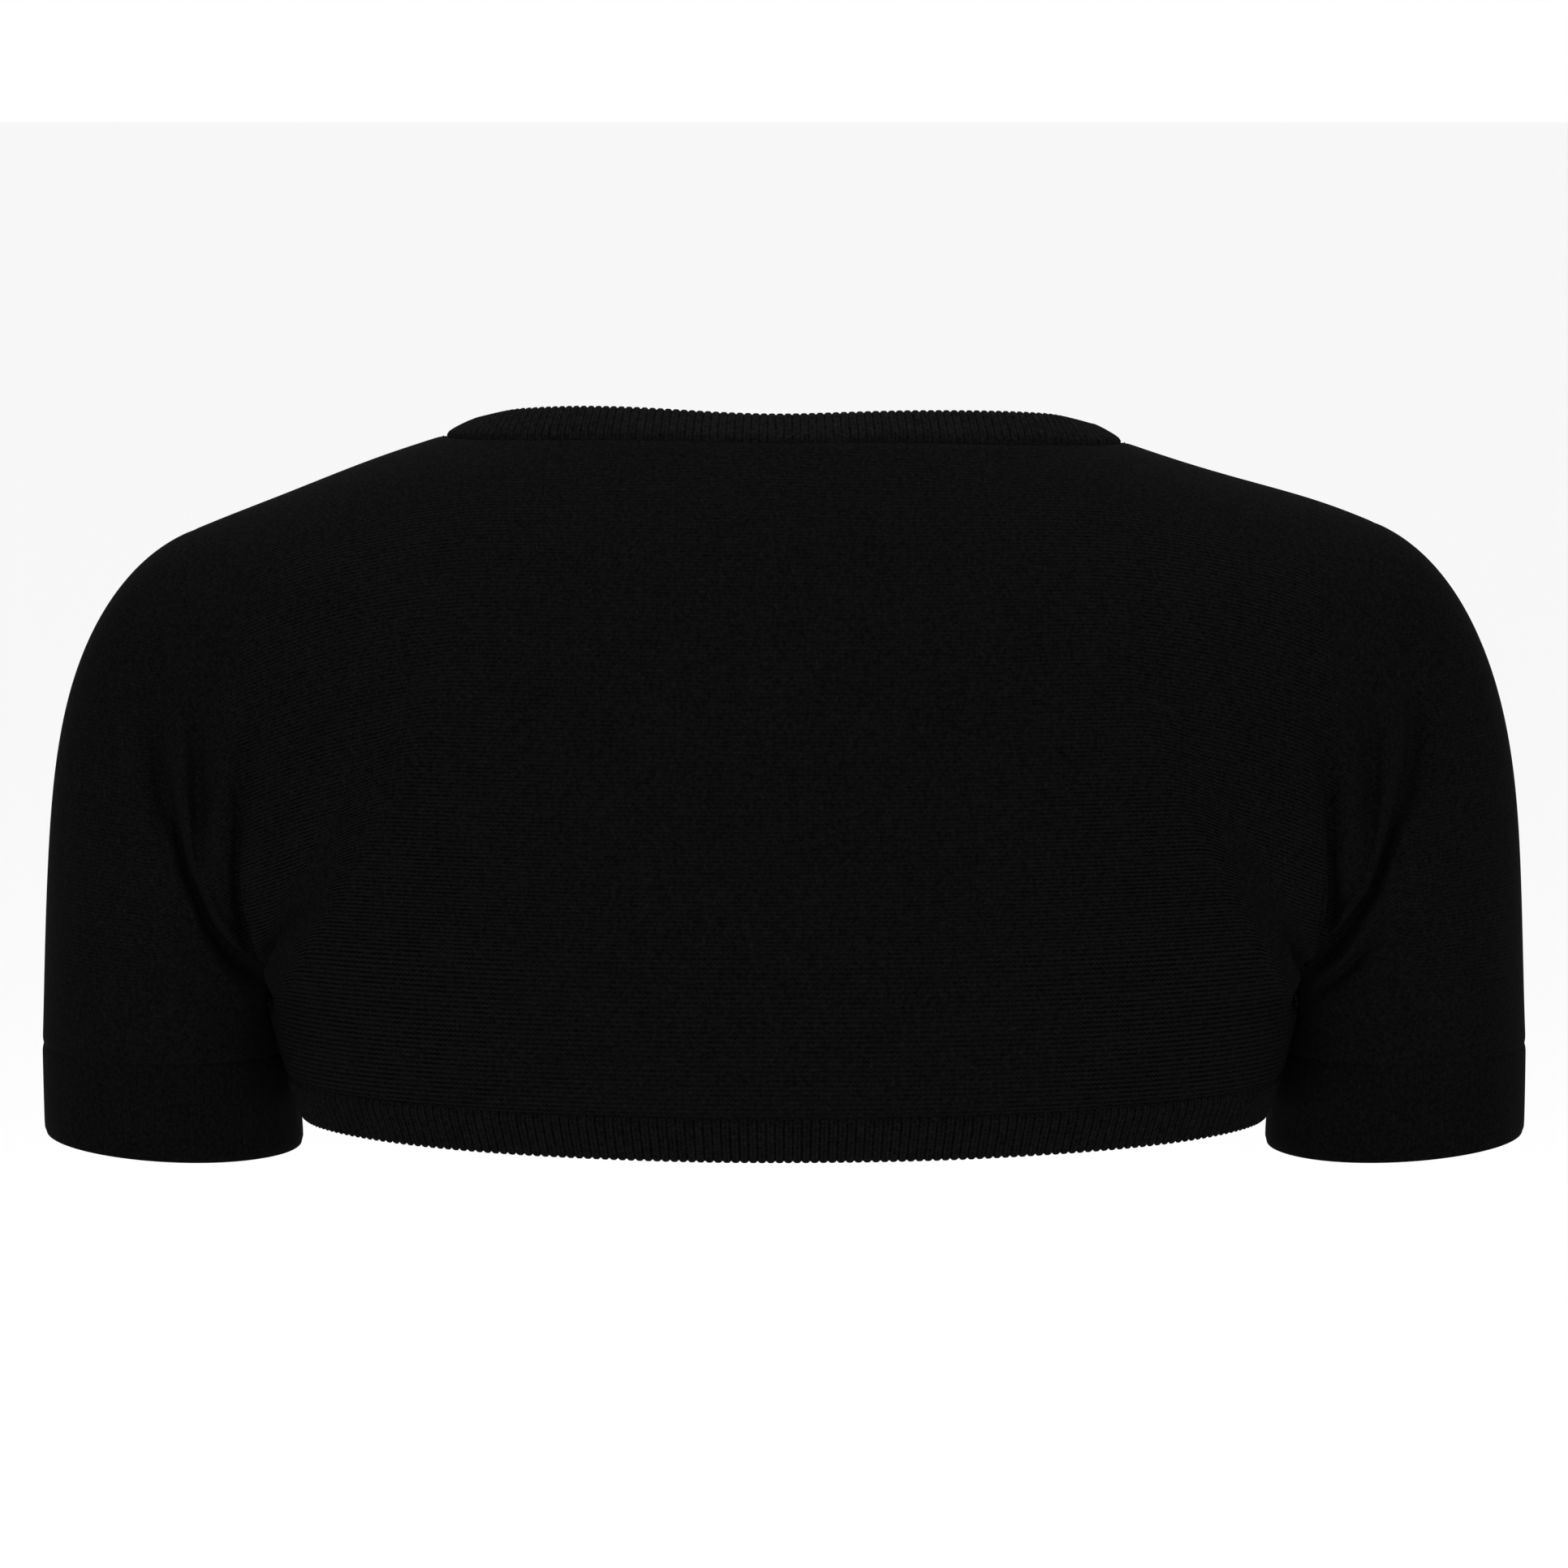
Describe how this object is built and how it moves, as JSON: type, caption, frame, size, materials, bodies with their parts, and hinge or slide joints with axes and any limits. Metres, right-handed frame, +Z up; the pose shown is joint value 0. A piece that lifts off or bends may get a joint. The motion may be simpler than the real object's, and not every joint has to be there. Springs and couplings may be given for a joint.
{
  "type": "cropped cardigan",
  "caption": "Short-sleeved cropped cardigan in fine knit, hollow as worn, open at the front, with deep cuffs and ribbed hem and neck bands.",
  "frame": {"origin": "midway between the two points where the shoulder seams meet the neck band, in the neck opening, where the wearer's neck passes and the shoulders carry the garment", "axes": "+Z up as worn, -Y towards the garment's front, +X towards the wearer's left"},
  "size_m": [0.4868, 0.2181, 0.2485],
  "materials": {
    "black_jersey": "fine plain knit, dull, near black",
    "black_rib": "fine ribbed knit, dull, near black"
  },
  "bodies": {
    "root": {"back_panel": "black_jersey", "front_left": "black_jersey", "front_right": "black_jersey", "sleeve_left": "black_jersey", "sleeve_right": "black_jersey", "cuff_left": "black_rib", "cuff_right": "black_rib", "hem_band": "black_rib", "neck_band": "black_rib"}
  },
  "joints": []
}
